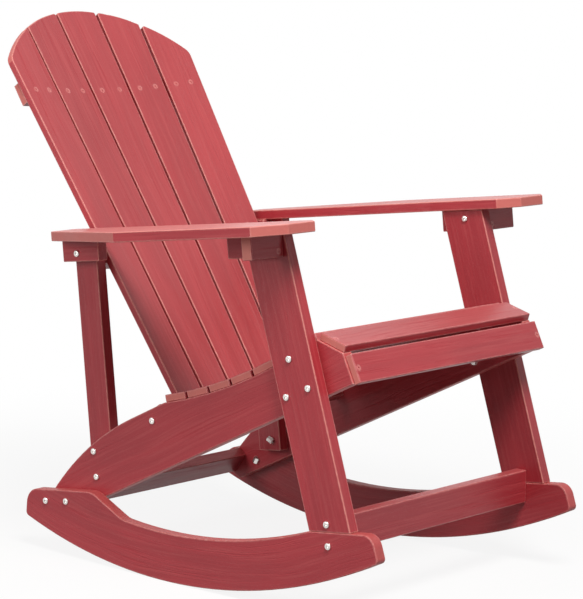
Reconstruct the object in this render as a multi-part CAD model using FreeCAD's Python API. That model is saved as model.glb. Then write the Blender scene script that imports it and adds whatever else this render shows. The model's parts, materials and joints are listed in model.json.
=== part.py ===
"""Rocking adirondack chair in plastic-wood boards, held together with bolts and screws.

Everything is drawn first with the arms level: X to the sitter's left, Y to the rear, Z up, with
the centre of the rocker's arc straight above the origin. Then the whole chair is rocked back on
its rockers by rest_lean, to the way it stands at rest, and moved along Y so that the origin lies
on the floor under the middle of its length.
"""
import FreeCAD, Part
import math
import os
from FreeCAD import Vector

# Boards
frame_board = 20.0
slat_board = 12.0
arm_board = 16.0
edge_round = 1.5

# Width over the outer faces of the side rails, which is the width between the front legs
seat_frame_width = 468.0

# Rockers
rocker_radius = 968.0
rocker_depth = 79.0
rocker_front = 340.0
rocker_rear = 427.0
rocker_end_slant = 9.0
nose_round = 22.0
tail_round = 28.0
heel_round = 8.0
tail_pad_height = 143.0
tail_pad_front = 264.0
tail_ramp_foot = 196.0
tail_ramp_round = 40.0
rest_lean = 6.53

# Front legs
leg_width = 80.5
leg_lean = 11.2
leg_foot_rear = -208.3

# Side rails
rail_angle = 19.3
rail_height = 99.0
rail_front_height = 49.0
rail_front_y = -284.0
rail_front_z = 372.0
rail_hip_y = 179.0
rail_tail_radius = 520.0
rail_tail_y = 403.0
rail_tail_height = 43.0
rail_tail_cut_angle = 45.0

# Seat
seat_curve_radius = 985.0
seat_rear_y = 100.0
seat_slat_count = 7
seat_slat_gap = 5.0
seat_slat_inset = 3.0
apron_drop = 5.0
apron_hang = 2.5
front_facet_length = 53.0
front_facet_angle = 22.5

# Rear posts
post_front_y = 249.0
post_width = 50.0
post_foot_z = 146.0

# Arms
arm_underside_z = 555.5
arm_outer_overhang = 106.0
arm_rear_y = 309.0
arm_front_y = -267.0
arm_outer_clip = 45.0
arm_outer_clip_run = 35.0
arm_inner_clip = 29.0
arm_inner_overhang = 7.0
arm_rear_outer_overhang = 21.0
arm_rear_inner_inset = 6.0
arm_outer_taper_y = 55.0
arm_inner_taper_front_y = -100.0
arm_inner_taper_rear_y = 227.0

# Cleats, bearers and blocks under the arms
cleat_height = 36.0
cleat_length = 76.0
bearer_length = 70.0
bearer_setback = 9.8
rear_block_height = 36.0
rear_block_length = 84.0
rear_block_overhang = 8.0

# Back, measured along the slats from back_foot and across from the middle
back_lean = 27.5
back_foot_y = 123.5
back_foot_z = 259.0
back_below_foot = 22.0
back_length = 771.0
back_top_radius = 279.0
back_slat_gap = 5.0
back_facet_turn = 4.0
back_slats_per_side = 2
back_side_clearance = 24.0
slat_line_spread = [0.0176, 0.0449, 0.0670]
slat_tip_round = 4.0
shoulder_round = 22.0

# Rails that hold the back slats, placed by their middles along the slats
lower_rail_along = 4.0
lower_rail_height = 44.0
middle_rail_along = 312.0
middle_rail_height = 56.0
upper_rail_along = 610.0
upper_rail_height = 38.0
upper_rail_inset = 1.0

# Stretchers
front_stretcher_height = 54.0
front_stretcher_y = -245.0
rear_stretcher_height = 44.0
rear_stretcher_y = 374.0
rear_stretcher_z = 124.0
rear_stretcher_angle = 45.0

# Bolts, nuts and screws
bolt_diameter = 6.0
bolt_clearance = 0.3
bolt_head_diameter = 11.0
bolt_head_height = 3.2
bolt_head_round = 1.9
bolt_socket_across = 4.0
bolt_socket_depth = 1.8
end_bolt_grip = 32.0
cleat_bolt_grip = 17.0
nut_across = 10.0
nut_height = 5.0
bolt_past_nut = 2.5
screw_diameter = 4.0
screw_clearance = 0.15
screw_head_diameter = 8.0
screw_head_depth = 2.4
screw_socket_across = 2.6
screw_socket_depth = 1.4
back_screw_grip = 9.0
edge_screw_grip = 18.0
block_screw_grip = 11.0
screws_from_edge = 24.0
rail_screw_rise = 9.0
rear_block_screw_spacing = 56.0
bearer_screw_rise = 9.0
arm_screw_from_end = 20.0

# Where bolts pass through the sides, as (Y, Z) with the arms level
leg_bolts = [(-194.0, 365.0), (-183.0, 307.0), (-228.0, 321.0)]
post_bolts = [(270.0, 207.0), (268.0, 165.0)]
rocker_bolt = (325.0, 125.0)
leg_foot_bolt_rise = 12.0
rocker_nose_bolt_drop = 21.0
cleat_bolt = (-166.0, 541.0)

# Derived places
rail_outer_x = seat_frame_width / 2
rail_inner_x = rail_outer_x - frame_board
slat_end_x = rail_outer_x - seat_slat_inset
leg_outer_x = rail_outer_x + frame_board
post_inner_x = rail_inner_x - frame_board
arm_outer_x = leg_outer_x + arm_outer_overhang
arm_inner_x = rail_outer_x - arm_inner_overhang
arm_rear_outer_x = rail_outer_x + arm_rear_outer_overhang
arm_rear_inner_x = post_inner_x + arm_rear_inner_inset
ORIGIN = Vector(0, 0, 0)
X_AXIS = Vector(1, 0, 0)
Z_AXIS = Vector(0, 0, 1)


def sine(angle):
    return math.sin(math.radians(angle))


def cosine(angle):
    return math.cos(math.radians(angle))


def tangent(angle):
    return math.tan(math.radians(angle))


def face_of(edges):
    return Part.Face(Part.Wire(Part.__sortEdges__(edges)))


def polygon_face(points):
    return Part.Face(Part.makePolygon(points + [points[0]]))


def side_board(outline, x_from, thickness):
    """A board with an outline of (Y, Z) points, from x_from towards +X."""
    face = polygon_face([Vector(x_from, y, z) for y, z in outline])
    return face.extrude(Vector(thickness, 0, 0))


def cross_board(outline, half_length):
    """A board along X, with an end outline of (Y, Z) points."""
    return side_board(outline, -half_length, 2 * half_length)


def round_corner(solid, y, z, radius):
    """Rounds the edge along X at this corner of a side board."""
    chosen = []
    for edge in solid.Edges:
        box = edge.BoundBox
        away = math.hypot(box.Center.y - y, box.Center.z - z)
        if box.YLength < edge_round and box.ZLength < edge_round and away < edge_round:
            chosen.append(edge)
    return solid.makeFillet(radius, chosen)


def ease_edges(solid):
    """Rounds every edge of a plain board."""
    return solid.makeFillet(edge_round, solid.Edges)


def ease_face_edges(solid):
    """Rounds the edges round the two side faces of a board that stands along Y."""
    sides = (solid.BoundBox.XMin, solid.BoundBox.XMax)
    chosen = []
    for edge in solid.Edges:
        box = edge.BoundBox
        if min(abs(box.XMin - x) + abs(box.XMax - x) for x in sides) < edge_round / 2:
            chosen.append(edge)
    return solid.makeFillet(edge_round, chosen)


def tilted_rectangle(y, z, thickness, height, lean):
    """End corners of a board centred on (y, z), with its height leaning back by lean."""
    corners = []
    for side, end in ((-1, -1), (1, -1), (1, 1), (-1, 1)):
        across = side * thickness / 2
        along = end * height / 2
        corners.append((y + across * cosine(lean) + along * sine(lean),
                        z - across * sine(lean) + along * cosine(lean)))
    return corners


def mirrored(shape):
    return shape.mirror(ORIGIN, X_AXIS)


# Rocker
upper_radius = rocker_radius - rocker_depth


def arc_height(y, radius):
    return rocker_radius - math.sqrt(radius ** 2 - y ** 2)


leg_foot_z = arc_height(leg_foot_rear, upper_radius)


def make_rocker():
    def on_arc(y, radius):
        return Vector(rail_outer_x, y, arc_height(y, radius))

    nose = on_arc(-rocker_front, rocker_radius)
    nose_top = Vector(rail_outer_x, rocker_end_slant - rocker_front, leg_foot_z)
    foot_rear = on_arc(leg_foot_rear, upper_radius)
    ramp_foot = on_arc(tail_ramp_foot, upper_radius)
    pad_front = Vector(rail_outer_x, tail_pad_front, tail_pad_height)
    pad_rear = Vector(rail_outer_x, rocker_rear - rocker_end_slant, tail_pad_height)
    tail = on_arc(rocker_rear, rocker_radius)
    edges = [
        Part.Arc(nose, on_arc(0.0, rocker_radius), tail).toShape(),
        Part.Arc(foot_rear, on_arc(0.0, upper_radius), ramp_foot).toShape(),
        Part.makeLine(nose, nose_top),
        Part.makeLine(nose_top, foot_rear),
        Part.makeLine(ramp_foot, pad_front),
        Part.makeLine(pad_front, pad_rear),
        Part.makeLine(pad_rear, tail),
    ]
    rocker = face_of(edges).extrude(Vector(frame_board, 0, 0))
    rounds = [(nose, heel_round), (nose_top, nose_round), (tail, heel_round),
              (pad_rear, tail_round), (pad_front, tail_ramp_round), (ramp_foot, tail_ramp_round)]
    for corner, radius in rounds:
        rocker = round_corner(rocker, corner.y, corner.z, radius)
    return ease_face_edges(rocker)


# Front leg
leg_run = leg_width / cosine(leg_lean)


def leg_rear_y(z):
    """Y of the leg's rear edge at this height."""
    return leg_foot_rear + (z - leg_foot_z) * tangent(leg_lean)


def make_leg():
    outline = []
    for z in (leg_foot_z, arm_underside_z):
        outline.append((leg_rear_y(z), z))
    for z in (arm_underside_z, leg_foot_z):
        outline.append((leg_rear_y(z) - leg_run, z))
    return ease_edges(side_board(outline, rail_outer_x, frame_board))


# Side rail, and the curve of the seat along its top
rail_toe_y = rail_front_y - rail_front_height * sine(rail_angle)
rail_toe_z = rail_front_z - rail_front_height * cosine(rail_angle)
crest_y = rail_front_y + front_facet_length * cosine(front_facet_angle)
crest_z = rail_front_z + front_facet_length * sine(front_facet_angle)


def rail_bottom_z(y):
    return rail_toe_z - (y - rail_toe_y) * tangent(rail_angle)


def rail_top_z(y):
    """Top of the rail behind the seat, where it runs parallel to the bottom."""
    return rail_bottom_z(y) + rail_height / cosine(rail_angle)


def seat_joints():
    """Points along the top of the rail, from the rear, where two seat slats meet."""
    run = seat_rear_y - crest_y
    rise = crest_z - rail_top_z(seat_rear_y)
    chord = math.hypot(run, rise)
    half_turn = math.asin(chord / (2 * seat_curve_radius))
    heading = math.atan2(rise, run) - half_turn
    joints = []
    for i in range(seat_slat_count + 1):
        turn = half_turn * i / seat_slat_count
        reach = 2 * seat_curve_radius * math.sin(turn)
        joints.append((seat_rear_y - reach * math.cos(heading + turn),
                       rail_top_z(seat_rear_y) + reach * math.sin(heading + turn)))
    return joints


def rail_tail_z(y):
    """Top of the rail behind its hip, where it bends down along an arc."""
    centre_y = rail_hip_y - rail_tail_radius * sine(rail_angle)
    centre_z = rail_top_z(rail_hip_y) - rail_tail_radius * cosine(rail_angle)
    return centre_z + math.sqrt(rail_tail_radius ** 2 - (y - centre_y) ** 2)


def make_side_rail():
    heel_y = rail_tail_y - rail_tail_height * sine(rail_tail_cut_angle)
    outline = [(rail_hip_y, rail_top_z(rail_hip_y))] + seat_joints()
    outline += [(rail_front_y, rail_front_z), (rail_toe_y, rail_toe_z),
                (heel_y, rail_bottom_z(heel_y)), (rail_tail_y, rail_tail_z(rail_tail_y))]
    corners = [Vector(rail_inner_x, y, z) for y, z in outline]
    bend_y = (rail_hip_y + rail_tail_y) / 2
    bend = Vector(rail_inner_x, bend_y, rail_tail_z(bend_y))
    edges = [Part.makeLine(a, b) for a, b in zip(corners, corners[1:])]
    edges.append(Part.Arc(corners[-1], bend, corners[0]).toShape())
    return ease_face_edges(face_of(edges).extrude(Vector(frame_board, 0, 0)))


# Rear post
def make_rear_post():
    rear = post_front_y + post_width
    outline = [(post_front_y, post_foot_z), (rear, post_foot_z),
               (rear, arm_underside_z), (post_front_y, arm_underside_z)]
    return ease_edges(side_board(outline, post_inner_x, frame_board))


# Arm
def make_arm():
    plan = [
        (arm_rear_outer_x, arm_rear_y),
        (arm_outer_x, arm_outer_taper_y),
        (arm_outer_x, arm_front_y + arm_outer_clip_run),
        (arm_outer_x - arm_outer_clip, arm_front_y),
        (arm_inner_x + arm_inner_clip, arm_front_y),
        (arm_inner_x, arm_front_y + arm_inner_clip),
        (arm_inner_x, arm_inner_taper_front_y),
        (arm_rear_inner_x, arm_inner_taper_rear_y),
        (arm_rear_inner_x, arm_rear_y),
    ]
    face = polygon_face([Vector(x, y, arm_underside_z) for x, y in plan])
    return ease_edges(face.extrude(Vector(0, 0, arm_board)))


# Pieces under the arm
cleat_base_z = arm_underside_z - cleat_height
bearer_front_y = leg_rear_y(cleat_base_z) - leg_run + bearer_setback
cleat_front_y = bearer_front_y + frame_board


def make_arm_bearer():
    """The short board that reaches out from the leg under the front of the arm."""
    corner = Vector(leg_outer_x, bearer_front_y, cleat_base_z)
    return ease_edges(Part.makeBox(bearer_length, frame_board, cleat_height, corner))


def make_arm_cleat():
    """The strip bolted along the outside of the leg, behind the bearer."""
    corner = Vector(leg_outer_x, cleat_front_y, cleat_base_z)
    return ease_edges(Part.makeBox(frame_board, cleat_length, cleat_height, corner))


def make_rear_block():
    rear = post_front_y + post_width + rear_block_overhang
    front = rear - rear_block_length
    base = arm_underside_z - rear_block_height
    outline = [(front, base), (rear, base), (rear, arm_underside_z), (front, arm_underside_z)]
    return ease_edges(side_board(outline, rail_inner_x, frame_board))


# Back: drawn upright with the slats' front faces at Y = 0 and their foot at Z = 0, then leaned.
# A line runs up the middle of each gap between two slats, and along the outer side of the last.
back_slat_run = (post_inner_x - back_side_clearance) / (back_slats_per_side + 0.5)
slat_lines_at_foot = [back_slat_run * (i + 0.5) for i in range(back_slats_per_side + 1)]


def slat_line(index, along):
    """Half width from the middle to the index-th line at this height."""
    return slat_lines_at_foot[index] + slat_line_spread[index] * along


back_slat_places = range(-back_slats_per_side, back_slats_per_side + 1)
facet_hinges = [slat_line(i, back_length / 2) for i in range(back_slats_per_side)]


def lean_back(shape):
    leaned = shape.copy()
    leaned.rotate(ORIGIN, X_AXIS, -back_lean)
    leaned.translate(Vector(0, back_foot_y, back_foot_z))
    return leaned


def facet_point(across, behind, turns):
    """Moves (across, behind) on the flat front to its facet, for the right-hand side."""
    x, y = across, behind
    for i in range(turns - 1, -1, -1):
        dx = x - facet_hinges[i]
        x = facet_hinges[i] + dx * cosine(back_facet_turn) + y * sine(back_facet_turn)
        y = y * cosine(back_facet_turn) - dx * sine(back_facet_turn)
    return x, y


def turn_facet(solid, side, turns):
    """Turns a flat slat forward about the facets' hinges, as facet_point does."""
    turned = solid.copy()
    for i in range(turns - 1, -1, -1):
        hinge = Vector(side * facet_hinges[i], 0, 0)
        turned.rotate(hinge, Z_AXIS, -side * back_facet_turn)
    return turned


def top_crossing(index, shift):
    """Where a slat's side meets the arched top, as (across, along)."""
    centre = back_length - back_top_radius
    a = slat_lines_at_foot[index] + shift + slat_line_spread[index] * centre
    b = slat_line_spread[index]
    reach = (-a * b + math.sqrt(back_top_radius ** 2 * (1 + b ** 2) - a ** 2)) / (1 + b ** 2)
    return a + b * reach, centre + reach


def make_back_slat(place):
    """The place runs from the sitter's right to the left, and is 0 in the middle."""
    turns = abs(place)
    side = -1 if place < 0 else 1
    half_gap = back_slat_gap / 2
    bottom = -back_below_foot
    outer_shift = 0.0 if turns == back_slats_per_side else -half_gap
    outer_foot = slat_line(turns, bottom) + outer_shift
    outer_top = top_crossing(turns, outer_shift)
    if turns == 0:
        inner_foot = -outer_foot
        inner_top = (-outer_top[0], outer_top[1])
    else:
        inner_foot = slat_line(turns - 1, bottom) + half_gap
        inner_top = top_crossing(turns - 1, half_gap)
    middle = (inner_top[0] + outer_top[0]) / 2
    crown = back_length - back_top_radius + math.sqrt(back_top_radius ** 2 - middle ** 2)
    corners = [Vector(inner_foot, 0, bottom), Vector(outer_foot, 0, bottom),
               Vector(outer_top[0], 0, outer_top[1]), Vector(inner_top[0], 0, inner_top[1])]
    edges = [Part.makeLine(corners[3], corners[0]), Part.makeLine(corners[0], corners[1]),
             Part.makeLine(corners[1], corners[2]),
             Part.Arc(corners[2], Vector(middle, 0, crown), corners[3]).toShape()]
    slat = face_of(edges).extrude(Vector(0, slat_board, 0))
    rounds = [(corners[3], slat_tip_round)]
    rounds.append((corners[2], shoulder_round if turns == back_slats_per_side else slat_tip_round))
    for corner, radius in rounds:
        slat = round_upright_corner(slat, corner, radius)
    slat = ease_front_and_rear(slat)
    if side < 0:
        slat = mirrored(slat)
    return lean_back(turn_facet(slat, side, turns))


def round_upright_corner(slat, corner, radius):
    """Rounds the edge through the slat's thickness at this corner."""
    chosen = []
    for edge in slat.Edges:
        box = edge.BoundBox
        away = math.hypot(box.Center.x - corner.x, box.Center.z - corner.z)
        if box.XLength < edge_round and box.ZLength < edge_round and away < edge_round:
            chosen.append(edge)
    return slat.makeFillet(radius, chosen)


def ease_front_and_rear(slat):
    """Rounds the edges round the slat's front and rear faces."""
    faces = (slat.BoundBox.YMin, slat.BoundBox.YMax)
    chosen = []
    for edge in slat.Edges:
        box = edge.BoundBox
        if min(abs(box.YMin - y) + abs(box.YMax - y) for y in faces) < edge_round / 2:
            chosen.append(edge)
    return slat.makeFillet(edge_round, chosen)


def back_rail(along, height, thickness, half_length):
    """A rail bent to the backs of the slats, with square ends at half_length."""
    front = []
    rear = []
    bends = [slat_line(i, along) for i in range(back_slats_per_side)]
    corners = [(turns, bend) for i, bend in enumerate(bends) for turns in (i, i + 1)]
    corners.append((back_slats_per_side, seat_frame_width))
    for turns, across in corners:
        front.append(facet_point(across, slat_board, turns))
        rear.append(facet_point(across, slat_board + thickness, turns))
    ring = [(-x, y) for x, y in reversed(front)] + front
    ring += list(reversed(rear)) + [(-x, y) for x, y in rear]
    low = along - height / 2
    blank = polygon_face([Vector(x, y, low) for x, y in ring]).extrude(Vector(0, 0, height))
    room = Part.makeBox(2 * half_length, seat_frame_width, height,
                        Vector(-half_length, -seat_frame_width / 2, low))
    return lean_back(blank.common(room))


def rail_end(along, thickness, half_length):
    """The middle of a back rail's end as (Y, Z) with the arms level."""
    x, y = facet_point(half_length, slat_board + thickness / 2, back_slats_per_side)
    stretch = (half_length - x) * tangent(back_slats_per_side * back_facet_turn)
    behind = y - stretch
    return (back_foot_y + behind * cosine(back_lean) + along * sine(back_lean),
            back_foot_z - behind * sine(back_lean) + along * cosine(back_lean))


# Seat
def seat_slat(rear_joint, front_joint, rear_gap, front_gap):
    """A slat that lies on the rail's top from one joint to the next."""
    run = front_joint[0] - rear_joint[0]
    rise = front_joint[1] - rear_joint[1]
    length = math.hypot(run, rise)
    uy, uz = run / length, rise / length
    outline = []
    for along, above in ((rear_gap, 0.0), (length - front_gap, 0.0),
                         (length - front_gap, slat_board), (rear_gap, slat_board)):
        outline.append((rear_joint[0] + along * uy + above * uz,
                        rear_joint[1] + along * uz - above * uy))
    return ease_edges(cross_board(outline, slat_end_x))


def rail_end_line(along):
    """A point at this distance down the rail's front end, or beyond it, from its top corner."""
    return rail_front_y - along * sine(rail_angle), rail_front_z - along * cosine(rail_angle)


apron_top_y, apron_top_z = rail_end_line(apron_drop)
apron_foot_y, apron_foot_z = rail_end_line(rail_front_height + apron_hang)


def make_front_apron():
    out_y = -cosine(rail_angle) * slat_board
    out_z = sine(rail_angle) * slat_board
    outline = [(apron_top_y, apron_top_z), (apron_foot_y, apron_foot_z),
               (apron_foot_y + out_y, apron_foot_z + out_z),
               (apron_top_y + out_y, apron_top_z + out_z)]
    return ease_edges(cross_board(outline, slat_end_x))


# Stretchers
front_stretcher_z = leg_foot_z + (leg_foot_bolt_rise - rocker_nose_bolt_drop) / 2


def make_front_stretcher():
    outline = tilted_rectangle(front_stretcher_y, front_stretcher_z, frame_board,
                               front_stretcher_height, -rest_lean)
    return ease_edges(cross_board(outline, rail_outer_x))


def make_rear_stretcher():
    outline = tilted_rectangle(rear_stretcher_y, rear_stretcher_z, frame_board,
                               rear_stretcher_height, -rear_stretcher_angle)
    return ease_edges(cross_board(outline, rail_inner_x))


# Bolts, nuts and screws, each with the hole that it needs
def hexagon(across, height, base, axis):
    radius = across / (2 * cosine(30))
    points = [Vector(radius * cosine(60 * i), radius * sine(60 * i), 0) for i in range(6)]
    prism = polygon_face(points).extrude(Vector(0, 0, height))
    prism.Placement = FreeCAD.Placement(base, FreeCAD.Rotation(Z_AXIS, axis))
    return prism


def make_bolt(seat, into, length):
    """A button-head bolt whose head sits on a board at seat and whose shank points into it."""
    out = Vector(into).multiply(-1)
    head = Part.makeCylinder(bolt_head_diameter / 2, bolt_head_height, seat, out)
    rim = [edge for edge in head.Edges if edge.Vertexes[0].Point.sub(seat).dot(out) > edge_round
           and edge.Length > bolt_head_diameter and len(edge.Vertexes) == 1]
    head = head.makeFillet(bolt_head_round, rim)
    socket_base = seat + Vector(out).multiply(bolt_head_height - bolt_socket_depth)
    head = head.cut(hexagon(bolt_socket_across, bolt_head_height, socket_base, out))
    shank = Part.makeCylinder(bolt_diameter / 2, length, seat, into)
    return head.fuse(shank).removeSplitter()


def bolt_hole(seat, into, length):
    radius = bolt_diameter / 2 + bolt_clearance
    return Part.makeCylinder(radius, length + bolt_clearance, seat, into)


def make_nut(seat, into):
    nut = hexagon(nut_across, nut_height, seat, into)
    bore = Part.makeCylinder(bolt_diameter / 2 + bolt_clearance / 2, nut_height, seat, into)
    return nut.cut(bore)


def make_screw(seat, into, length):
    """A countersunk screw whose head is flush with the board at seat."""
    head = Part.makeCone(screw_head_diameter / 2, screw_diameter / 2, screw_head_depth, seat, into)
    shank = Part.makeCylinder(screw_diameter / 2, length, seat, into)
    recess = hexagon(screw_socket_across, screw_socket_depth, seat, into)
    return head.fuse(shank).removeSplitter().cut(recess)


def screw_hole(seat, into, length):
    wider = screw_clearance
    head = Part.makeCone(screw_head_diameter / 2 + wider, screw_diameter / 2 + wider,
                         screw_head_depth, seat, into)
    shank = Part.makeCylinder(screw_diameter / 2 + wider, length + wider, seat, into)
    return head.fuse(shank)


INWARD = Vector(-1, 0, 0)
OUTWARD = Vector(1, 0, 0)
frame_bolts = []
frame_nuts = []
end_bolts = []
back_screws = []
seat_screws = []
apron_screws = []
block_screws = []
bearer_screws = []
holes = []


def on_both_sides(group, shape, hole=None):
    group.extend([shape, mirrored(shape)])
    if hole is not None:
        holes.extend([hole, mirrored(hole)])


def through_bolt(head_x, nut_x, y, z):
    seat = Vector(head_x, y, z)
    length = head_x - nut_x + nut_height + bolt_past_nut
    on_both_sides(frame_bolts, make_bolt(seat, INWARD, length), bolt_hole(seat, INWARD, length))
    on_both_sides(frame_nuts, make_nut(Vector(nut_x, y, z), INWARD))


def end_bolt(head_x, end_x, y, z, grip=end_bolt_grip):
    """A bolt from head_x through the side, screwed by grip into the board that starts at end_x."""
    seat = Vector(head_x, y, z)
    into = INWARD if end_x < head_x else OUTWARD
    length = abs(head_x - end_x) + grip
    on_both_sides(end_bolts, make_bolt(seat, into, length), bolt_hole(seat, into, length))


def screw_pair(group, seat, into, length):
    """The same screw on both sides of the chair."""
    on_both_sides(group, make_screw(seat, into, length), screw_hole(seat, into, length))


for bolt_y, bolt_z in leg_bolts:
    through_bolt(leg_outer_x, rail_inner_x, bolt_y, bolt_z)
for bolt_y, bolt_z in post_bolts:
    through_bolt(rail_outer_x, post_inner_x, bolt_y, bolt_z)
through_bolt(leg_outer_x, rail_inner_x, *rocker_bolt)
end_bolt(leg_outer_x, rail_outer_x, front_stretcher_y, leg_foot_z + leg_foot_bolt_rise)
end_bolt(leg_outer_x, rail_outer_x, front_stretcher_y, leg_foot_z - rocker_nose_bolt_drop)
end_bolt(leg_outer_x, rail_inner_x, rear_stretcher_y, rear_stretcher_z)
end_bolt(rail_outer_x, rail_inner_x, *rail_end(lower_rail_along, frame_board, rail_inner_x))
end_bolt(rail_outer_x, post_inner_x, *rail_end(middle_rail_along, frame_board, post_inner_x))
end_bolt(rail_outer_x, leg_outer_x, *cleat_bolt, cleat_bolt_grip)


def add_back_screws():
    """Two screws through each slat into each rail, above the bolts in the ends of the rails."""
    length = slat_board + back_screw_grip
    for along in (lower_rail_along + rail_screw_rise, middle_rail_along + rail_screw_rise,
                  upper_rail_along):
        for place in back_slat_places:
            turns = abs(place)
            side = -1 if place < 0 else 1
            outer = slat_line(turns, along) - screws_from_edge
            inner = slat_line(turns - 1, along) + screws_from_edge if turns else -outer
            for across in (inner, outer):
                seat = Vector(side * across, 0, along)
                into = Vector(0, 1, 0)
                for group, make in ((back_screws, make_screw), (holes, screw_hole)):
                    piece = turn_facet(make(seat, into, length), side, turns)
                    group.append(lean_back(piece))


def add_seat_screws():
    """One screw at each end of each slat, through its middle and square to it."""
    joints = seat_joints() + [(rail_front_y, rail_front_z)]
    for rear, front in zip(joints, joints[1:]):
        run = front[0] - rear[0]
        rise = front[1] - rear[1]
        length = math.hypot(run, rise)
        up = Vector(0, rise / length, -run / length)
        middle = Vector(rail_outer_x - frame_board / 2, (rear[0] + front[0]) / 2,
                        (rear[1] + front[1]) / 2)
        seat = middle + Vector(up).multiply(slat_board)
        screw_pair(seat_screws, seat, Vector(up).multiply(-1), slat_board + edge_screw_grip)


def add_apron_screws():
    out = Vector(0, -cosine(rail_angle), sine(rail_angle))
    middle = Vector(rail_outer_x - frame_board / 2, (apron_top_y + apron_foot_y) / 2,
                    (apron_top_z + apron_foot_z) / 2)
    seat = middle + Vector(out).multiply(slat_board)
    screw_pair(apron_screws, seat, Vector(out).multiply(-1), slat_board + edge_screw_grip)


def add_block_screws():
    """Screws up through the block, the bearer and the cleat into the arm."""
    up = Vector(0, 0, 1)
    rear_middle = post_front_y + post_width + rear_block_overhang - rear_block_length / 2
    rear_x = rail_outer_x - frame_board / 2
    for side in (-1, 1):
        y = rear_middle + side * rear_block_screw_spacing / 2
        seat = Vector(rear_x, y, arm_underside_z - rear_block_height)
        screw_pair(block_screws, seat, up, rear_block_height + block_screw_grip)
    in_bearer = (bearer_length - arm_screw_from_end, bearer_front_y + frame_board / 2)
    in_cleat = (frame_board / 2, cleat_front_y + cleat_length - arm_screw_from_end)
    for out, y in (in_bearer, in_cleat):
        seat = Vector(leg_outer_x + out, y, cleat_base_z)
        screw_pair(block_screws, seat, up, cleat_height + block_screw_grip)


def add_bearer_screws():
    """A screw through each bearer into the front end of its cleat."""
    seat = Vector(leg_outer_x + frame_board / 2, bearer_front_y, cleat_base_z + bearer_screw_rise)
    screw_pair(bearer_screws, seat, Vector(0, 1, 0), frame_board + edge_screw_grip)


add_back_screws()
add_seat_screws()
add_apron_screws()
add_block_screws()
add_bearer_screws()


# Assembly
def drilled(board):
    """The board with every hole that reaches it."""
    near = [hole for hole in holes if hole.BoundBox.intersect(board.BoundBox)]
    return board.cut(near) if near else board


def rocked(shape):
    """The shape as it stands when the chair is at rest."""
    leaned = shape.copy()
    leaned.rotate(Vector(0, 0, rocker_radius), X_AXIS, -rest_lean)
    return leaned


side_boards = {
    "rocker": make_rocker(),
    "front_leg": make_leg(),
    "side_rail": make_side_rail(),
    "rear_post": make_rear_post(),
    "arm": make_arm(),
    "arm_bearer": make_arm_bearer(),
    "arm_cleat": make_arm_cleat(),
    "rear_arm_block": make_rear_block(),
}
boards = {}
for name, board in side_boards.items():
    boards["left_" + name] = board
    boards["right_" + name] = mirrored(board)
for number, place in enumerate(back_slat_places, 1):
    boards["back_slat_" + str(number)] = make_back_slat(place)
joints = seat_joints()
for i in range(seat_slat_count):
    half_gap = seat_slat_gap / 2
    boards["seat_slat_" + str(i + 1)] = seat_slat(joints[i], joints[i + 1], half_gap, half_gap)
boards["front_seat_slat"] = seat_slat(joints[-1], (rail_front_y, rail_front_z), seat_slat_gap / 2, 0.0)
boards["front_apron"] = make_front_apron()
boards["front_stretcher"] = make_front_stretcher()
boards["rear_stretcher"] = make_rear_stretcher()
upper_half_length = slat_line(back_slats_per_side, upper_rail_along) - upper_rail_inset
boards["lower_back_rail"] = back_rail(lower_rail_along, lower_rail_height, frame_board, rail_inner_x)
boards["middle_back_rail"] = back_rail(middle_rail_along, middle_rail_height, frame_board, post_inner_x)
boards["upper_back_rail"] = back_rail(upper_rail_along, upper_rail_height, slat_board, upper_half_length)

fasteners = {
    "frame_bolts": frame_bolts,
    "frame_nuts": frame_nuts,
    "end_bolts": end_bolts,
    "back_slat_screws": back_screws,
    "seat_slat_screws": seat_screws,
    "apron_screws": apron_screws,
    "arm_screws": block_screws,
    "bearer_screws": bearer_screws,
}

pieces = {name: rocked(drilled(board)) for name, board in boards.items()}
pieces.update({name: rocked(Part.makeCompound(group)) for name, group in fasteners.items()})
boxes = [piece.optimalBoundingBox(False) for piece in pieces.values()]
middle_y = (min(box.YMin for box in boxes) + max(box.YMax for box in boxes)) / 2

os.makedirs("parts", exist_ok=True)
for name, piece in pieces.items():
    piece.translate(Vector(0, -middle_y, 0))
    piece.exportStep("parts/" + name + ".step")
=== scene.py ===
"""A rocking adirondack chair in red plastic wood, dressed around its CAD frame."""

import json
import math

import bmesh
import bpy
import numpy as np
from mathutils import Matrix, Vector


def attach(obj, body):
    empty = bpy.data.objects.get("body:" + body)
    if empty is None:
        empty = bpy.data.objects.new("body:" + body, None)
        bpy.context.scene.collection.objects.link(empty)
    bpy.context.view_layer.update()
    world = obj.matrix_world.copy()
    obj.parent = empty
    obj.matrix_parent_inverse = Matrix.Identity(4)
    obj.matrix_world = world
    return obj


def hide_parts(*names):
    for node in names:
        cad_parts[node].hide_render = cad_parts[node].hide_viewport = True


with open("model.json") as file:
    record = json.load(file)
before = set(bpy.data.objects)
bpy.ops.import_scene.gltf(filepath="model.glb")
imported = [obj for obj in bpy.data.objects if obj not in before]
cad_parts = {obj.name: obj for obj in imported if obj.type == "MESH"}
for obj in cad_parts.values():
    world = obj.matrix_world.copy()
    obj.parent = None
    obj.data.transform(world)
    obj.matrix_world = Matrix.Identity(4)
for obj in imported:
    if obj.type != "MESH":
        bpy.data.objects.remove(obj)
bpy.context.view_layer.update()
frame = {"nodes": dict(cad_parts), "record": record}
nodes = frame["nodes"]

# How the chair stands: its rest lean, and the leans of its boards with the arms level, in degrees
REST_LEAN = 6.53
LEG_LEAN = 11.2
RAIL_SLOPE = 19.3
BACK_LEAN = 27.5
ROCKER_RADIUS = 0.968
FACET_TURN = 4.0
SLAT_FANS = (-3.2, -1.8, 0.0, 1.8, 3.2)

# Where the rockers touch the floor
mounts = {mount["name"]: mount for mount in frame["record"]["mounts"]}
CONTACT_Y = mounts["rocker_line"]["pos_m"][1]

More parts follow.
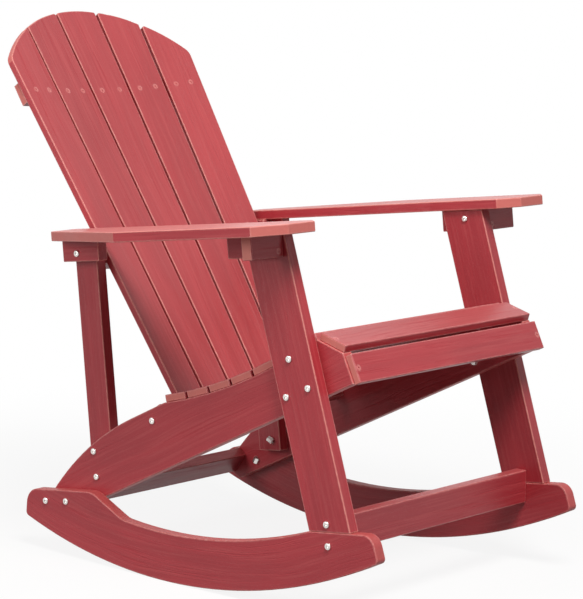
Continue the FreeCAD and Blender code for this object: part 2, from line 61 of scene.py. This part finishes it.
# Camera: the photograph's viewing angle, fitted to the chair at another lean, in degrees and metres
PICTURE_WIDTH_PIXELS = 583
FOCAL_LENGTH_PIXELS = 2463.8
SENSOR_WIDTH_MM = 36.0
CAMERA_HEADING = -48.38
CAMERA_PITCH = -7.60
CAMERA_PLACE = (-2.9887, -2.6864, 0.9657)
CAMERA_FAR_END = 500.0
FITTED_LEAN = 5.6

# Fasteners, in metres
BOLT_HEAD_RADIUS = 0.0055
BOLT_HEAD_HEIGHT = 0.0032
BOLT_HEAD_ROUND = 0.0019
BOLT_RADIUS = 0.0030
BOLT_SOCKET_ACROSS = 0.0040
BOLT_SOCKET_DEPTH = 0.0018
BOLT_POINT_SHARE = 0.8
THREAD_LENGTH = 0.009
THREAD_PITCH = 0.001
THREAD_ROOT = 0.87
NUT_ACROSS = 0.0100
NUT_BORE = 0.00315
NUT_CHAMFER = 0.0007
NUT_BLANK_EXTRA = 0.0001
SCREW_HEAD_RADIUS = 0.0039
SCREW_HEAD_DEPTH = 0.0024
SCREW_RADIUS = 0.0020
SCREW_TIP = 0.004
SCREW_TIP_SHARE = 0.12
SCREW_LIP = 0.0002
SCREW_CROWN = 0.00008
SCREW_CROWN_INSET_SHARE = 0.25
SCREW_SOCKET_ACROSS = 0.0026
SCREW_SOCKET_DEPTH = 0.0014
SOCKET_CONE_SHARE = 0.2
CUT_PAST = 0.001

# How far each fastener is turned from the last one, and the sharpest edge that is shaded smooth
HEAD_TURN_STEP = 0.7
SMOOTH_ANGLE = math.radians(35)

# Grain, as waves per metre along, across and through a board
GRAIN_SWAY = (3.0, 9.0, 9.0)
GRAIN_LINES = (7.0, 330.0, 330.0)
GRAIN_PORES = (26.0, 900.0, 900.0)
GRAIN_BROAD = (2.2, 60.0, 60.0)
GRAIN_STREAKS = (5.0, 170.0, 170.0)
GRAIN_CLOUD = (2.5, 6.0, 6.0)
GRAIN_GRIT = 1100.0

# How far the grain sways, and how far it is shifted from one board to the next, in metres
SWAY_REACH = 0.030
GRAIN_STEP = 0.37

# The middle of the boards' tone, how far it swings from board to board, and how fast
TONE_MIDDLE = 0.48
TONE_SWING = 0.03
TONE_PACE = 2.4

# How strongly each effect shows on the boards, from 0 to 1
STREAK_SHARE = 0.20
GROOVE_SHARE = 0.35
SPECK_SHARE = 0.16
# Next: the strength of the painted highlight along the boards' edges
EDGE_HIGHLIGHT_SHARE = 0.85
SAWN_ROUGHER = 0.15
GRIT_HEIGHT = 0.30

# Edge lightening: how far in it reaches, in metres, and the waves per metre that break it up; a
# painted highlight on the boards, wear on the steel and the screws
BOARD_EDGE_HIGHLIGHT = (0.0036, 90.0)
STEEL_WEAR = (0.0006, 700.0)
SCREW_WEAR = (0.0005, 700.0)

# Colours, linear
BOARD_RED = (0.460, 0.040, 0.052, 1.0)
BOARD_DEEP = (0.340, 0.022, 0.032, 1.0)
BOARD_PALE = (0.590, 0.115, 0.115, 1.0)
# Painted sheen on the boards' upward faces; also the pale end of the coated screws' mottle
BOARD_SHEEN_AND_MOTTLE = (0.700, 0.240, 0.225, 1.0)
# Sawn faces, painted paler: partly their own cut colour and partly painted light
BOARD_SAWN_AND_LIT = (0.740, 0.260, 0.210, 1.0)
# Painted highlight along board edges; also the pale grit specks and the rubbed screw rims
BOARD_WORN_AND_LIT = (0.930, 0.480, 0.440, 1.0)
STEEL = (0.80, 0.77, 0.74, 1.0)
STEEL_DARK = (0.42, 0.40, 0.38, 1.0)
STEEL_BRIGHT = (0.95, 0.93, 0.90, 1.0)
WHITE = (1.0, 1.0, 1.0, 1.0)
FLOOR_PALE = (0.86, 0.86, 0.86, 1.0)
FLOOR_PALER = (0.90, 0.90, 0.90, 1.0)
FLOOR_BOUNCE = (0.22, 0.21, 0.21, 1.0)
AMBIENT = (1.0, 0.99, 0.98, 1.0)

# Floor, its glow round the chair, and light, in metres
FLOOR_SIZE = 240.0
GLOW_START = 0.4
GLOW_END = 1.7
GLOW_AT_CHAIR = 0.88
AMBIENT_STRENGTH = 0.20
LAMP_AIM = (0.0, 0.0, 0.45)


# Camera
def add_camera():
    """The camera stands as it was fitted, rocked about the rockers' centre with the chair."""
    data = bpy.data.cameras.new("camera")
    data.sensor_fit = "HORIZONTAL"
    data.sensor_width = SENSOR_WIDTH_MM
    data.lens = FOCAL_LENGTH_PIXELS / PICTURE_WIDTH_PIXELS * SENSOR_WIDTH_MM
    data.clip_end = CAMERA_FAR_END
    data.dof.use_dof = False
    camera = bpy.data.objects.new("camera", data)
    bpy.context.scene.collection.objects.link(camera)
    level = (Matrix.Rotation(math.radians(CAMERA_HEADING), 4, "Z")
             @ Matrix.Rotation(math.radians(90.0 + CAMERA_PITCH), 4, "X"))
    rocked = Matrix.Rotation(math.radians(FITTED_LEAN - REST_LEAN), 4, "X")
    centre = Vector((0.0, 0.0, ROCKER_RADIUS))
    place = rocked @ (Vector(CAMERA_PLACE) - centre) + centre
    place.y += CONTACT_Y
    camera.matrix_world = Matrix.Translation(place) @ rocked @ level
    bpy.context.scene.camera = camera


# Node helpers
class Tree:
    """A node tree with short calls for the nodes that the materials use."""

    def __init__(self, tree):
        self.tree = tree

    def node(self, kind, inputs=None, **settings):
        made = self.tree.nodes.new(kind)
        for name, value in settings.items():
            setattr(made, name, value)
        for name, value in (inputs or {}).items():
            self.feed(made.inputs[name], value)
        return made

    def feed(self, socket, value):
        if isinstance(value, bpy.types.NodeSocket):
            self.tree.links.new(value, socket)
        else:
            socket.default_value = value

    def math(self, operation, a, b=0.0):
        return self.node("ShaderNodeMath", {0: a, 1: b}, operation=operation).outputs[0]

    def ramp(self, value, low, high, to_low=0.0, to_high=1.0):
        made = self.node("ShaderNodeMapRange", {"Value": value, "From Min": low, "From Max": high,
                                                "To Min": to_low, "To Max": to_high},
                         interpolation_type="SMOOTHSTEP")
        return made.outputs["Result"]

    def mix(self, factor, a, b):
        made = self.node("ShaderNodeMix", data_type="RGBA")
        self.feed(made.inputs["Factor"], factor)
        self.feed(made.inputs[6], a)
        self.feed(made.inputs[7], b)
        return made.outputs[2]

    def noise(self, vector, scale, detail=2.0, roughness=0.5):
        made = self.node("ShaderNodeTexNoise", {"Vector": vector, "Scale": scale, "Detail": detail,
                                                "Roughness": roughness})
        return made.outputs[0]

    def scaled(self, vector, factors):
        made = self.node("ShaderNodeVectorMath", {0: vector, 1: factors}, operation="MULTIPLY")
        return made.outputs[0]


def new_group(name, inputs, outputs):
    group = bpy.data.node_groups.new(name, "ShaderNodeTree")
    for socket, kind in inputs:
        group.interface.new_socket(socket, in_out="INPUT", socket_type=kind)
    for socket, kind in outputs:
        group.interface.new_socket(socket, in_out="OUTPUT", socket_type=kind)
    tree = Tree(group)
    return group, tree, tree.node("NodeGroupInput"), tree.node("NodeGroupOutput")


def grain_group():
    """Moulded wood grain: X of Along runs with the board. Gives tone, streaks, grooves and grit."""
    group, t, given, out = new_group(
        "wood_grain", [("Along", "NodeSocketVector")],
        [("Tone", "NodeSocketFloat"), ("Streaks", "NodeSocketFloat"),
         ("Grooves", "NodeSocketFloat"), ("Grit", "NodeSocketFloat")])
    along = given.outputs["Along"]
    bend = t.math("MULTIPLY", t.noise(t.scaled(along, GRAIN_SWAY), 1.0, 2.0), SWAY_REACH)
    sway = t.node("ShaderNodeCombineXYZ", {"Y": bend}).outputs[0]
    bent = t.node("ShaderNodeVectorMath", {0: along, 1: sway}, operation="ADD").outputs[0]
    lines = t.noise(t.scaled(bent, GRAIN_LINES), 1.0, 3.0, 0.6)
    pores = t.noise(t.scaled(bent, GRAIN_PORES), 1.0, 2.0, 0.5)
    broad = t.noise(t.scaled(bent, GRAIN_BROAD), 1.0, 3.0, 0.55)
    streaks = t.noise(t.scaled(bent, GRAIN_STREAKS), 1.0, 3.0, 0.6)
    cloud = t.noise(t.scaled(along, GRAIN_CLOUD), 1.0, 3.0, 0.6)
    groove = t.math("MULTIPLY", t.ramp(lines, 0.50, 0.36), t.ramp(broad, 0.40, 0.60))
    pit = t.math("MULTIPLY", t.ramp(pores, 0.40, 0.30), 0.5)
    t.feed(out.inputs["Tone"], t.math("ADD", t.math("MULTIPLY", cloud, 0.6),
                                      t.math("MULTIPLY", broad, 0.4)))
    t.feed(out.inputs["Streaks"], t.ramp(streaks, 0.46, 0.68))
    t.feed(out.inputs["Grooves"], t.math("MAXIMUM", groove, pit))
    t.feed(out.inputs["Grit"], t.noise(along, GRAIN_GRIT, 3.0, 0.65))
    return group


def edge_group():
    """How much a point lies on an outer edge, broken up by noise, for lightening edges: a painted
    highlight on the boards, wear on the steel and the screws.
    """
    group, t, given, out = new_group(
        "edge_wear", [("Reach", "NodeSocketFloat"), ("Breakup", "NodeSocketFloat")],
        [("Wear", "NodeSocketFloat")])
    soft = t.node("ShaderNodeBevel", {"Radius": given.outputs["Reach"]}, samples=6).outputs[0]
    true = t.node("ShaderNodeNewGeometry").outputs["Normal"]
    dot = t.node("ShaderNodeVectorMath", {0: soft, 1: true}, operation="DOT_PRODUCT").outputs["Value"]
    edge = t.ramp(dot, 0.999, 0.90)
    spots = t.noise(t.node("ShaderNodeTexCoord").outputs["Object"], given.outputs["Breakup"], 3.0, 0.6)
    t.feed(out.inputs["Wear"], t.math("MULTIPLY", edge, t.ramp(spots, 0.30, 0.62, 0.35, 1.0)))
    return group


GRAIN = grain_group()
EDGES = edge_group()


def new_material(name):
    material = bpy.data.materials.new(name)
    material.use_nodes = True
    material.node_tree.nodes.clear()
    return material, Tree(material.node_tree)


# Edge lightening: a painted highlight on the boards, wear on the steel and the screws
def worn_and_lit_edges(t, kind):
    reach, breakup = kind
    wear_and_highlight = t.node("ShaderNodeGroup", {}, node_tree=EDGES)
    wear_and_highlight.inputs["Reach"].default_value = reach
    wear_and_highlight.inputs["Breakup"].default_value = breakup
    return wear_and_highlight.outputs["Wear"]


def rocker_coordinates(t, place):
    """Along the arc, across it and through the board, for boards cut as an arc."""
    parts = t.node("ShaderNodeSeparateXYZ", {"Vector": place}).outputs
    y = t.math("SUBTRACT", parts["Y"], CONTACT_Y)
    z = t.math("SUBTRACT", ROCKER_RADIUS, parts["Z"])
    angle = t.math("ARCTAN2", y, z)
    reach = t.math("SQRT", t.math("ADD", t.math("MULTIPLY", y, y), t.math("MULTIPLY", z, z)))
    return t.node("ShaderNodeCombineXYZ", {"X": t.math("MULTIPLY", angle, ROCKER_RADIUS),
                                           "Y": reach, "Z": parts["X"]}).outputs[0]


def facing(t, direction, low, high):
    """1 on the faces that lie square to the direction, on either side of the board."""
    normal = t.node("ShaderNodeTexCoord").outputs["Normal"]
    dot = t.node("ShaderNodeVectorMath", {0: normal, 1: direction},
                 operation="DOT_PRODUCT").outputs["Value"]
    return t.ramp(t.math("ABSOLUTE", dot), low, high)


def sawn_and_lit_faces(t, length_way, skin_ways):
    """1 on the faces that a saw left, which are painted paler: partly the cut face's own colour,
    partly painted light. Only the others keep the board's moulded skin.
    """
    if skin_ways is None:
        return facing(t, length_way, 0.93, 0.985)
    skin = 0.0
    for way in skin_ways:
        skin = t.math("MAXIMUM", skin, facing(t, way, 0.975, 0.995))
    return t.math("SUBTRACT", 1.0, skin)


def painted_sheen_on_tops(t):
    """1 on the faces that turn upward, where a paler colour is painted as sheen."""
    normal = t.node("ShaderNodeTexCoord").outputs["Normal"]
    up = t.node("ShaderNodeSeparateXYZ", {"Vector": normal}).outputs["Z"]
    return t.ramp(up, 0.40, 0.55)


def board_material(name, number, axes, skin_ways, painted_sheen, sawn_light_share):
    """Satin plastic wood. Its upper faces get a painted sheen, and its sawn faces a paler colour,
    partly their own and partly painted light; the last two arguments say how much.
    """
    material, t = new_material(name)
    place = t.node("ShaderNodeTexCoord").outputs["Object"]
    if axes is None:
        along = rocker_coordinates(t, place)
        sawn_and_lit = sawn_and_lit_faces(t, None, skin_ways)
    else:
        turn = Matrix(axes).to_euler()
        along = t.node("ShaderNodeMapping", {"Vector": place, "Rotation": turn,
                                             "Location": (GRAIN_STEP * number, 0.0, 0.0)}).outputs[0]
        sawn_and_lit = sawn_and_lit_faces(t, axes[0], skin_ways)
    grain = t.node("ShaderNodeGroup", {}, node_tree=GRAIN)
    t.feed(grain.inputs["Along"], along)
    grooves = t.math("MULTIPLY", grain.outputs["Grooves"], t.math("SUBTRACT", 1.0, sawn_and_lit))
    cast = TONE_MIDDLE + TONE_SWING * math.sin(TONE_PACE * number)
    tone = t.mix(t.ramp(grain.outputs["Tone"], cast - 0.22, cast + 0.20), BOARD_DEEP, BOARD_RED)
    tone = t.mix(t.math("MULTIPLY", grain.outputs["Streaks"], STREAK_SHARE), tone, BOARD_PALE)
    # Painted sheen: upward faces, the back slats' fronts among them, are paler as if catching the
    # light
    tone = t.mix(t.math("MULTIPLY", painted_sheen_on_tops(t), painted_sheen), tone, BOARD_SHEEN_AND_MOTTLE)
    colour = t.mix(t.math("MULTIPLY", grooves, GROOVE_SHARE), tone, BOARD_DEEP)
    # Sawn faces painted paler, partly their own cut colour and partly painted light
    colour = t.mix(t.math("MULTIPLY", sawn_and_lit, sawn_light_share), colour, BOARD_SAWN_AND_LIT)
    speck = t.ramp(grain.outputs["Grit"], 0.58, 0.74)
    colour = t.mix(t.math("MULTIPLY", speck, SPECK_SHARE), colour, BOARD_WORN_AND_LIT)
    # Painted highlight: a pale band along the rounded edges where they catch the light
    colour = t.mix(t.math("MULTIPLY", worn_and_lit_edges(t, BOARD_EDGE_HIGHLIGHT), EDGE_HIGHLIGHT_SHARE), colour, BOARD_WORN_AND_LIT)
    rough = t.math("ADD", t.ramp(grain.outputs["Tone"], 0.3, 0.7, 0.30, 0.42),
                   t.math("MULTIPLY", t.math("MAXIMUM", grooves, sawn_and_lit), SAWN_ROUGHER))
    height = t.math("SUBTRACT", t.math("MULTIPLY", grain.outputs["Grit"], GRIT_HEIGHT), grooves)
    bump = t.node("ShaderNodeBump", {"Height": height, "Strength": 0.5, "Distance": 0.00040})
    shader = t.node("ShaderNodeBsdfPrincipled",
                    {"Base Color": colour, "Roughness": rough, "Normal": bump.outputs[0],
                     "Specular IOR Level": 0.4})
    t.node("ShaderNodeOutputMaterial", {"Surface": shader.outputs[0]})
    return material


def steel_material():
    """Bright stainless steel, turned and a little stained."""
    material, t = new_material("steel")
    place = t.node("ShaderNodeTexCoord").outputs["Object"]
    scratches = t.noise(t.scaled(place, (900.0, 2600.0, 2600.0)), 1.0, 3.0, 0.6)
    stains = t.ramp(t.noise(place, 160.0, 3.0, 0.6), 0.35, 0.65)
    colour = t.mix(t.math("MULTIPLY", t.math("SUBTRACT", 1.0, stains), 0.4), STEEL, STEEL_DARK)
    colour = t.mix(t.math("MULTIPLY", worn_and_lit_edges(t, STEEL_WEAR), 0.6), colour, STEEL_BRIGHT)
    bump = t.node("ShaderNodeBump", {"Height": scratches, "Strength": 0.25, "Distance": 0.00005})
    shader = t.node("ShaderNodeBsdfPrincipled",
                    {"Base Color": colour, "Metallic": 1.0, "Normal": bump.outputs[0],
                     "Roughness": t.ramp(scratches, 0.3, 0.7, 0.20, 0.36)})
    t.node("ShaderNodeOutputMaterial", {"Surface": shader.outputs[0]})
    return material


def coated_screw_material():
    """Screws coated in the boards' red, rubbed pale round the rim and the socket."""
    material, t = new_material("coated_screw")
    place = t.node("ShaderNodeTexCoord").outputs["Object"]
    mottle = t.noise(place, 420.0, 3.0, 0.6)
    colour = t.mix(t.ramp(mottle, 0.35, 0.65, 0.0, 0.6), BOARD_PALE, BOARD_SHEEN_AND_MOTTLE)
    colour = t.mix(t.math("MULTIPLY", worn_and_lit_edges(t, SCREW_WEAR), 0.35), colour, BOARD_WORN_AND_LIT)
    bump = t.node("ShaderNodeBump", {"Height": mottle, "Strength": 0.3, "Distance": 0.00006})
    shader = t.node("ShaderNodeBsdfPrincipled",
                    {"Base Color": colour, "Normal": bump.outputs[0],
                     "Roughness": t.ramp(mottle, 0.3, 0.7, 0.26, 0.40)})
    t.node("ShaderNodeOutputMaterial", {"Surface": shader.outputs[0]})
    return material


def leaned_axes(lean, fan=0.0, facet=0.0):
    """Axes of a board that stands up and leans back by lean: along, across and through."""
    turn = (Matrix.Rotation(math.radians(-lean), 3, "X") @ Matrix.Rotation(math.radians(facet), 3, "Z")
            @ Matrix.Rotation(math.radians(fan), 3, "Y"))
    return [turn @ Vector((0, 0, 1)), turn @ Vector((1, 0, 0)), turn @ Vector((0, 1, 0))]


def sloped_axes(slope):
    """Axes of a board that runs to the rear and falls by slope."""
    turn = Matrix.Rotation(math.radians(-slope), 3, "X")
    return [turn @ Vector((0, 1, 0)), turn @ Vector((0, 0, 1)), turn @ Vector((1, 0, 0))]


def cross_axes(tilt):
    """Axes of a board that runs along X."""
    turn = Matrix.Rotation(math.radians(-tilt), 3, "X")
    return [turn @ Vector((1, 0, 0)), turn @ Vector((0, 1, 0)), turn @ Vector((0, 0, 1))]


def paint(piece, material):
    piece.data.materials.clear()
    piece.data.materials.append(material)


def board_finish(name):
    """A board's axes as along, across and through, the ways that its moulded skin faces, how much
    painted sheen its upper faces get, and how much paler its sawn faces are painted, partly as painted
    light."""
    form = name.replace("left_", "").replace("right_", "")
    side = Vector((1, 0, 0))
    leg = leaned_axes(LEG_LEAN + REST_LEAN)
    post = leaned_axes(REST_LEAN)
    level = sloped_axes(REST_LEAN)
    forms = {
        "rocker": (None, [side], 0.0, 0.2),
        "front_leg": (leg, leg[1:], 0.0, 0.5),
        "side_rail": (sloped_axes(RAIL_SLOPE + REST_LEAN), [side], 0.0, 0.2),
        "rear_post": (post, post[1:], 0.0, 0.5),
        "arm": (level, level[1:], 0.8, 0.5),
        "arm_bearer": (cross_axes(REST_LEAN), None, 0.0, 0.9),
        "arm_cleat": (level, level[1:], 0.0, 0.5),
        "rear_arm_block": (level, level, 0.0, 0.5),
    }
    if name.startswith("back_slat_"):
        place = int(name[-1]) - 1
        slat = leaned_axes(BACK_LEAN + REST_LEAN, SLAT_FANS[place], FACET_TURN * (2 - place))
        return slat, slat[1:], 0.12, 0.5
    if form in forms:
        return forms[form]
    return cross_axes(RAIL_SLOPE + REST_LEAN), None, 0.24, 0.6


def paint_boards():
    boards = [name for name in sorted(nodes) if not name.endswith(("bolts", "nuts", "screws"))]
    for number, name in enumerate(boards):
        paint(nodes[name], board_material("board_" + name, number, *board_finish(name)))


# Modelling helpers
def choose(piece):
    bpy.ops.object.select_all(action="DESELECT")
    piece.select_set(True)
    bpy.context.view_layer.objects.active = piece


def add_rod(radius, low, high, sides=32):
    """A rod about Z from low to high."""
    bpy.ops.object.select_all(action="DESELECT")
    bpy.ops.mesh.primitive_cylinder_add(vertices=sides, radius=radius, depth=high - low,
                                        location=(0.0, 0.0, (low + high) / 2))
    bpy.ops.object.transform_apply(location=True, rotation=True, scale=True)
    return bpy.context.object


def hexagon_radius(across):
    return across / 2 / math.cos(math.radians(30))


def shape_end(piece, up, height):
    """Opens edit mode with the end face at this height selected; up is 1 or -1."""
    if bpy.context.mode != "EDIT_MESH":
        choose(piece)
        bpy.ops.object.mode_set(mode="EDIT")
        bpy.ops.mesh.select_mode(type="FACE")
    bpy.ops.mesh.select_all(action="DESELECT")
    work = bmesh.from_edit_mesh(piece.data)
    for face in work.faces:
        if face.normal.z * up > 0.9 and abs(face.calc_center_median().z - height) < 1e-5:
            face.select_set(True)
    bmesh.update_edit_mesh(piece.data)


def draw_out(rise, widen=1.0):
    """Extrudes the selected end by rise and makes it wider or narrower."""
    bpy.ops.mesh.extrude_region_move(TRANSFORM_OT_translate={"value": (0.0, 0.0, rise)})
    if widen != 1.0:
        bpy.ops.transform.resize(value=(widen, widen, 1.0), center_override=(0.0, 0.0, 0.0))


def cut_by(piece, tool, operation="DIFFERENCE"):
    """Cuts the piece with a tool, which is then gone."""
    if bpy.context.mode == "EDIT_MESH":
        bpy.ops.object.mode_set(mode="OBJECT")
    cut = piece.modifiers.new("cut", "BOOLEAN")
    cut.operation = operation
    cut.solver = "EXACT"
    cut.object = tool
    choose(piece)
    bpy.ops.object.modifier_apply(modifier=cut.name)
    bpy.data.objects.remove(tool)


# Fasteners
def model_bolt(length):
    """A button-head bolt: head above Z = 0, shank below, threaded over its last stretch."""
    bolt = add_rod(BOLT_HEAD_RADIUS, 0.0, BOLT_HEAD_HEIGHT)
    shape_end(bolt, 1, BOLT_HEAD_HEIGHT)
    bpy.ops.mesh.bevel(offset=BOLT_HEAD_ROUND, segments=6, affect="EDGES")
    shape_end(bolt, -1, 0.0)
    bpy.ops.mesh.inset(thickness=BOLT_HEAD_RADIUS - BOLT_RADIUS)
    draw_out(BOLT_HEAD_HEIGHT + THREAD_LENGTH - length)
    for _ in range(int(THREAD_LENGTH / THREAD_PITCH) - 1):
        draw_out(-THREAD_PITCH / 2, THREAD_ROOT)
        draw_out(-THREAD_PITCH / 2, 1 / THREAD_ROOT)
    draw_out(-THREAD_PITCH, BOLT_POINT_SHARE)
    cut_socket(bolt, BOLT_SOCKET_ACROSS, BOLT_HEAD_HEIGHT - BOLT_SOCKET_DEPTH, BOLT_HEAD_HEIGHT)
    return bolt


def cut_socket(piece, across, low, top):
    """Cuts a hexagonal socket from the top down, with a short cone at its foot, as a drill leaves."""
    bpy.ops.object.mode_set(mode="OBJECT")
    tool = add_rod(hexagon_radius(across), low, top + CUT_PAST, 6)
    shape_end(tool, -1, low)
    draw_out(-across * SOCKET_CONE_SHARE, SOCKET_CONE_SHARE)
    cut_by(piece, tool)


def model_nut(length):
    """A hexagon nut with chamfered corners, from Z = 0 down."""
    nut = add_rod(hexagon_radius(NUT_ACROSS), -length, 0.0, 6)
    blank = add_rod(hexagon_radius(NUT_ACROSS) + NUT_BLANK_EXTRA, -length, 0.0)
    for up, height in ((1, 0.0), (-1, -length)):
        shape_end(blank, up, height)
        bpy.ops.mesh.bevel(offset=NUT_CHAMFER, segments=1, affect="EDGES")
    bpy.ops.object.mode_set(mode="OBJECT")
    cut_by(nut, blank, "INTERSECT")
    cut_by(nut, add_rod(NUT_BORE, -length - CUT_PAST, CUT_PAST))
    return nut


def model_screw(length):
    """A countersunk screw: its head's top at Z = 0, slightly crowned, with a hexagon recess."""
    screw = add_rod(SCREW_HEAD_RADIUS, -SCREW_LIP, 0.0, 24)
    shape_end(screw, 1, 0.0)
    bpy.ops.mesh.inset(thickness=SCREW_HEAD_RADIUS * SCREW_CROWN_INSET_SHARE)
    bpy.ops.transform.translate(value=(0.0, 0.0, SCREW_CROWN))
    shape_end(screw, -1, -SCREW_LIP)
    draw_out(SCREW_LIP - SCREW_HEAD_DEPTH, SCREW_RADIUS / SCREW_HEAD_RADIUS)
    draw_out(SCREW_HEAD_DEPTH + SCREW_TIP - length)
    draw_out(-SCREW_TIP, SCREW_TIP_SHARE)
    cut_socket(screw, SCREW_SOCKET_ACROSS, -SCREW_SOCKET_DEPTH, 0.0)
    return screw


def loose_parts(node):
    """The points of each separate fastener of a CAD node, from a merged copy of its mesh."""
    copy = bpy.data.objects.new("copy", node.data.copy())
    bpy.context.scene.collection.objects.link(copy)
    choose(copy)
    bpy.ops.object.mode_set(mode="EDIT")
    bpy.ops.mesh.select_all(action="SELECT")
    bpy.ops.mesh.remove_doubles(threshold=1e-6)
    bpy.ops.mesh.separate(type="LOOSE")
    bpy.ops.object.mode_set(mode="OBJECT")
    parts = list(bpy.context.selected_objects)
    points = [np.array([vertex.co[:] for vertex in part.data.vertices]) for part in parts]
    for part in parts:
        bpy.data.objects.remove(part)
    return sorted(points, key=lambda found: tuple(found.mean(0).round(4)))


def fastener_place(points):
    """The tip of a fastener's head, the direction from which it is driven, and its length."""
    middle = points.mean(0)
    axis = np.linalg.svd(points - middle, full_matrices=False)[2][0]
    along = (points - middle) @ axis
    away = np.linalg.norm(points - middle - np.outer(along, axis), axis=1)
    widest = along[away > away.max() * 0.97].mean()
    if widest < (along.min() + along.max()) / 2:
        axis, along = -axis, -along
    return Vector(middle + axis * along.max()), Vector(axis), float(along.max() - along.min())


def fasten(node_name, model, head_height, material):
    """Replaces a CAD node of fasteners with modelled ones in the same places."""
    patterns = {}
    copies = []
    for number, points in enumerate(loose_parts(nodes[node_name])):
        tip, axis, length = fastener_place(points)
        size = round(length, 4)
        if size not in patterns:
            patterns[size] = model(length)
        copy = patterns[size].copy()
        copy.data = patterns[size].data.copy()
        bpy.context.scene.collection.objects.link(copy)
        driven = axis.to_track_quat("Z", "Y").to_matrix().to_4x4()
        turned = Matrix.Rotation(HEAD_TURN_STEP * number, 4, "Z")
        copy.matrix_world = Matrix.Translation(tip - axis * head_height) @ driven @ turned
        copies.append(copy)
    for pattern in patterns.values():
        bpy.data.objects.remove(pattern)
    choose(copies[0])
    for copy in copies:
        copy.select_set(True)
    bpy.ops.object.join()
    piece = bpy.context.object
    bpy.ops.object.transform_apply(location=True, rotation=True, scale=True)
    bpy.ops.object.shade_smooth_by_angle(angle=SMOOTH_ANGLE)
    piece.name = node_name + "_modelled"
    paint(piece, material)
    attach(piece, "root")
    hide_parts(node_name)


# Stage and light
def seen_directly(t):
    """1 for what the camera sees, straight or in a reflection, and 0 for the light on the chair."""
    path = t.node("ShaderNodeLightPath").outputs
    mirrored = t.math("MAXIMUM", path["Is Glossy Ray"], path["Is Transmission Ray"])
    return t.math("MAXIMUM", path["Is Camera Ray"], mirrored)


def add_floor():
    bpy.ops.object.select_all(action="DESELECT")
    bpy.ops.mesh.primitive_plane_add(size=FLOOR_SIZE)
    floor = bpy.context.object
    floor.name = "floor"
    material, t = new_material("floor")
    place = t.node("ShaderNodeTexCoord").outputs["Object"]
    seen = seen_directly(t)
    pale = t.mix(t.noise(place, 40.0, 3.0), FLOOR_PALE, FLOOR_PALER)
    matt = t.node("ShaderNodeBsdfDiffuse", {"Color": t.mix(seen, FLOOR_BOUNCE, pale)})
    glow = t.node("ShaderNodeEmission", {"Color": WHITE, "Strength": 1.0})
    reach = t.node("ShaderNodeVectorMath", {0: place}, operation="LENGTH").outputs["Value"]
    bright = t.math("MULTIPLY", t.ramp(reach, GLOW_START, GLOW_END, GLOW_AT_CHAIR, 1.0), seen)
    mixed = t.node("ShaderNodeMixShader", {0: bright, 1: matt.outputs[0], 2: glow.outputs[0]})
    t.node("ShaderNodeOutputMaterial", {"Surface": mixed.outputs[0]})
    paint(floor, material)


def add_world():
    world = bpy.data.worlds.new("world")
    bpy.context.scene.world = world
    world.use_nodes = True
    world.node_tree.nodes.clear()
    t = Tree(world.node_tree)
    ambient = t.node("ShaderNodeBackground", {"Color": AMBIENT, "Strength": AMBIENT_STRENGTH})
    white = t.node("ShaderNodeBackground", {"Color": WHITE, "Strength": 1.0})
    mixed = t.node("ShaderNodeMixShader",
                   {0: seen_directly(t), 1: ambient.outputs[0], 2: white.outputs[0]})
    t.node("ShaderNodeOutputWorld", {"Surface": mixed.outputs[0]})


def add_lamp(name, place, size, watts, colour):
    data = bpy.data.lights.new(name, "AREA")
    data.shape = "RECTANGLE"
    data.size, data.size_y = size
    data.energy = watts
    data.color = colour
    lamp = bpy.data.objects.new(name, data)
    bpy.context.scene.collection.objects.link(lamp)
    lamp.location = place
    lamp.rotation_euler = (Vector(LAMP_AIM) - Vector(place)).to_track_quat("-Z", "Y").to_euler()


add_camera()
paint_boards()
steel = steel_material()
coated = coated_screw_material()
fasten("frame_bolts", model_bolt, BOLT_HEAD_HEIGHT, steel)
fasten("end_bolts", model_bolt, BOLT_HEAD_HEIGHT, steel)
fasten("frame_nuts", model_nut, 0.0, steel)
for screw_group in ("back_slat_screws", "seat_slat_screws", "apron_screws", "arm_screws",
                    "bearer_screws"):
    fasten(screw_group, model_screw, 0.0, coated)
add_floor()
add_world()
add_lamp("key", place=(-1.3, -2.1, 3.5), size=(1.4, 1.4), watts=148.0, colour=(1.0, 0.98, 0.96))
add_lamp("fill", place=(-3.4, 1.2, 1.8), size=(2.0, 1.8), watts=50.0, colour=(1.0, 0.95, 0.94))
bpy.context.scene.view_settings.view_transform = "Standard"
